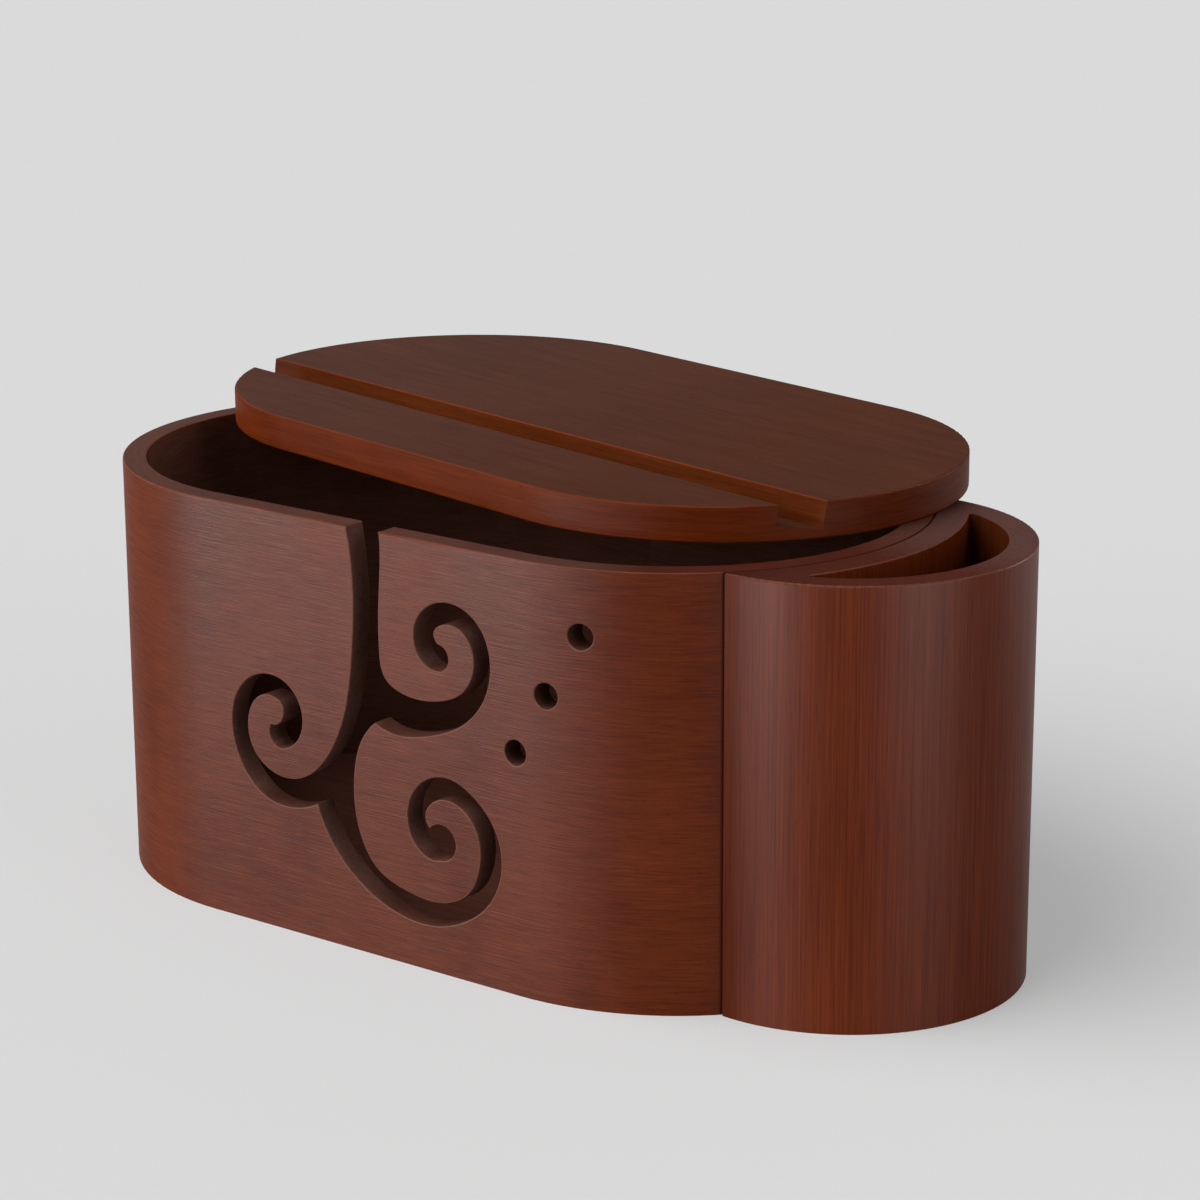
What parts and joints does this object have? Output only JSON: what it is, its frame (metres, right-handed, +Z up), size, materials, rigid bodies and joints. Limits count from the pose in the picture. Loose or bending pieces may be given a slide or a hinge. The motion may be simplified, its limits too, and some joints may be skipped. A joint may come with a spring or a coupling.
{
  "type": "yarn dispenser box",
  "caption": "Oval wooden yarn box with a scroll-shaped yarn slot, guide holes, a crescent hook pocket at one end and a loose lid with a phone groove.",
  "frame": {"origin": "middle of the oval bin's underside", "axes": "+X along the box towards the hook pocket, +Y to the back, away from the scroll slot, +Z up"},
  "size_m": [0.2896, 0.1914, 0.13],
  "materials": {
    "bin_wall_wood": "satin",
    "bin_floor_wood": "satin",
    "pocket_wood": "satin",
    "pocket_floor_wood": "satin",
    "lid_wood": "satin"
  },
  "bodies": {
    "box": {"main_wall": "bin_wall_wood", "main_floor": "bin_floor_wood", "pocket_wall": "pocket_wood", "pocket_floor": "pocket_floor_wood"},
    "lid": {"lid_board": "lid_wood"}
  },
  "joints": [
    {"name": "lid_lift", "type": "slide", "parent": "box", "child": "lid", "axis": [0, 0, 1], "range_m": [0, 0.08]}
  ]
}
